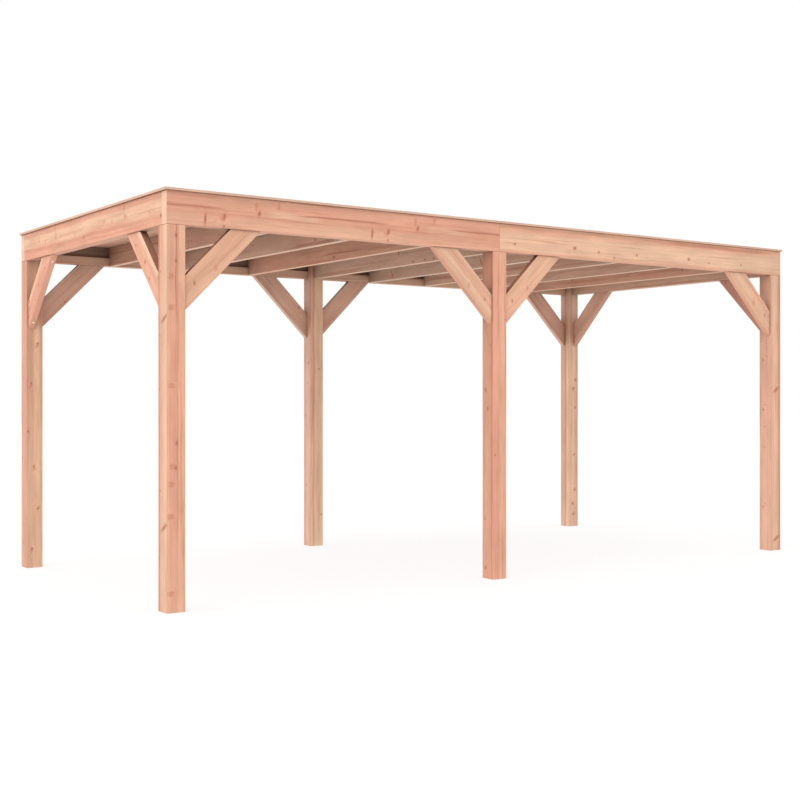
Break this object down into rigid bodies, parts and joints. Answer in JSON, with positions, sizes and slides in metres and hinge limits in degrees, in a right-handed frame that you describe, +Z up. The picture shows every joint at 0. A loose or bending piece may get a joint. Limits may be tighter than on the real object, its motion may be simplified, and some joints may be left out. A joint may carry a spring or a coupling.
{
  "type": "timber carport",
  "caption": "Free-standing open timber carport: square notched posts with angled braces carry a ring beam, joists and a flat roof behind a capped edge.",
  "frame": {"origin": "on the ground under the middle of the plan", "axes": "+X along the long sides towards the right-hand end, +Y towards the back, +Z up"},
  "size_m": [5.524, 2.664, 2.51],
  "materials": {
    "post_timber": "planed softwood, left raw, with knots and growth rings",
    "beam_timber": "planed softwood, left raw, with knots and streaks",
    "brace_timber": "planed softwood, left raw",
    "joist_timber": "planed softwood, left raw",
    "deck_timber": "planed roof boards, left raw",
    "cover_timber": "planed softwood board, left raw",
    "roofing": "matt rubber sheet"
  },
  "bodies": {
    "root": {"post_front_left": "post_timber", "post_front_middle": "post_timber", "post_front_right": "post_timber", "post_back_left": "post_timber", "post_back_middle": "post_timber", "post_back_right": "post_timber", "beam_front_left": "beam_timber", "beam_front_right": "beam_timber", "beam_back_left": "beam_timber", "beam_back_right": "beam_timber", "beam_left": "beam_timber", "beam_right": "beam_timber", "brace_front_left_along": "brace_timber", "brace_front_left_across": "brace_timber", "brace_front_right_along": "brace_timber", "brace_front_right_across": "brace_timber", "brace_back_left_along": "brace_timber", "brace_back_left_across": "brace_timber", "brace_back_right_along": "brace_timber", "brace_back_right_across": "brace_timber", "brace_front_middle_leftward": "brace_timber", "brace_front_middle_rightward": "brace_timber", "brace_back_middle_leftward": "brace_timber", "brace_back_middle_rightward": "brace_timber", "joist_left_1": "joist_timber", "joist_left_2": "joist_timber", "joist_left_3": "joist_timber", "joist_middle": "joist_timber", "joist_right_1": "joist_timber", "joist_right_2": "joist_timber", "joist_right_3": "joist_timber", "joist_right_4": "joist_timber", "roof_deck": "deck_timber", "roof_sheet": "roofing", "cover_front_left": "cover_timber", "cover_front_right": "cover_timber", "cover_back_left": "cover_timber", "cover_back_right": "cover_timber", "cover_left": "cover_timber", "cover_right": "cover_timber"}
  },
  "joints": []
}
